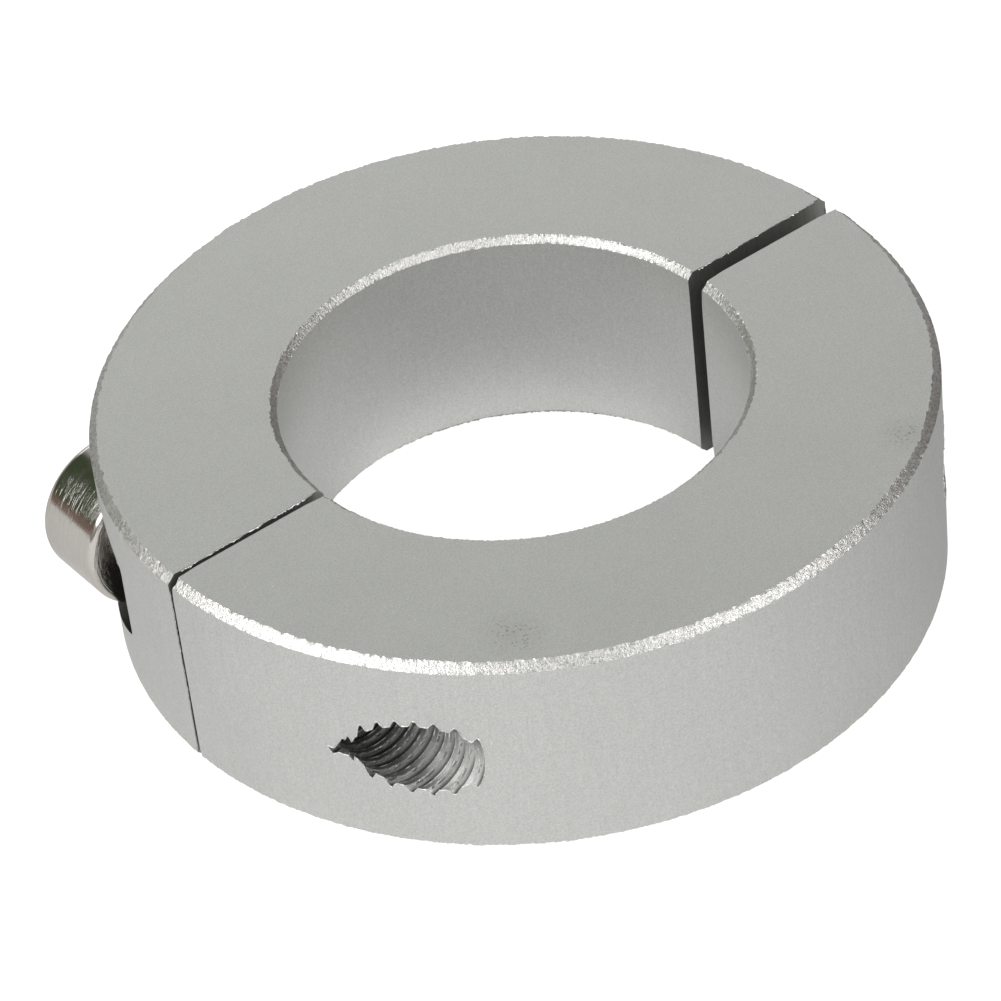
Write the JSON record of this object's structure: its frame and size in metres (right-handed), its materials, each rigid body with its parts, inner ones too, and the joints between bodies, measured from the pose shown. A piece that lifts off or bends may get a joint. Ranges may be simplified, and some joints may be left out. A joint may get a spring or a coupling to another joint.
{
  "type": "split clamp shaft collar",
  "caption": "Two-piece split clamp collar that locks on a round shaft when its cap screws draw the halves together.",
  "frame": {"origin": "centre of the bore, halfway through the collar's width", "axes": "+Z along the bore axis; X along the split; the screws lie along Y with their heads towards +Y"},
  "size_m": [0.054, 0.054, 0.015],
  "materials": {
    "anodised_aluminium": "fine bead-blasted and clear anodised, with bright turned edge chamfers",
    "nickel_plated_steel": "nickel plated, glossy, with fine handling scratches"
  },
  "bodies": {
    "tapped_half": {"tapped_half": "anodised_aluminium"},
    "counterbored_half": {"counterbored_half": "anodised_aluminium"},
    "left_cap_screw": {"left_cap_screw": "nickel_plated_steel"},
    "right_cap_screw": {"right_cap_screw": "nickel_plated_steel"}
  },
  "joints": [
    {"name": "halves_slide", "type": "slide", "parent": "tapped_half", "child": "counterbored_half", "axis": [0, 1, 0], "range_m": [-0.0002, 0.008]},
    {"name": "right_screw_turn", "type": "hinge", "parent": "counterbored_half", "child": "right_cap_screw", "pos_m": [0.021, 0.0086, 0], "axis": [0, 1, 0], "range_deg": [-72, 2880]},
    {"name": "left_screw_turn", "type": "hinge", "parent": "counterbored_half", "child": "left_cap_screw", "pos_m": [-0.021, 0.0114, 0], "axis": [0, 1, 0], "range_deg": [-72, 2880]}
  ],
  "couplings": [
    {"joint": "right_screw_turn", "follows": "halves_slide", "rad_per_m": 6283.2},
    {"joint": "left_screw_turn", "follows": "halves_slide", "rad_per_m": 6283.2}
  ]
}
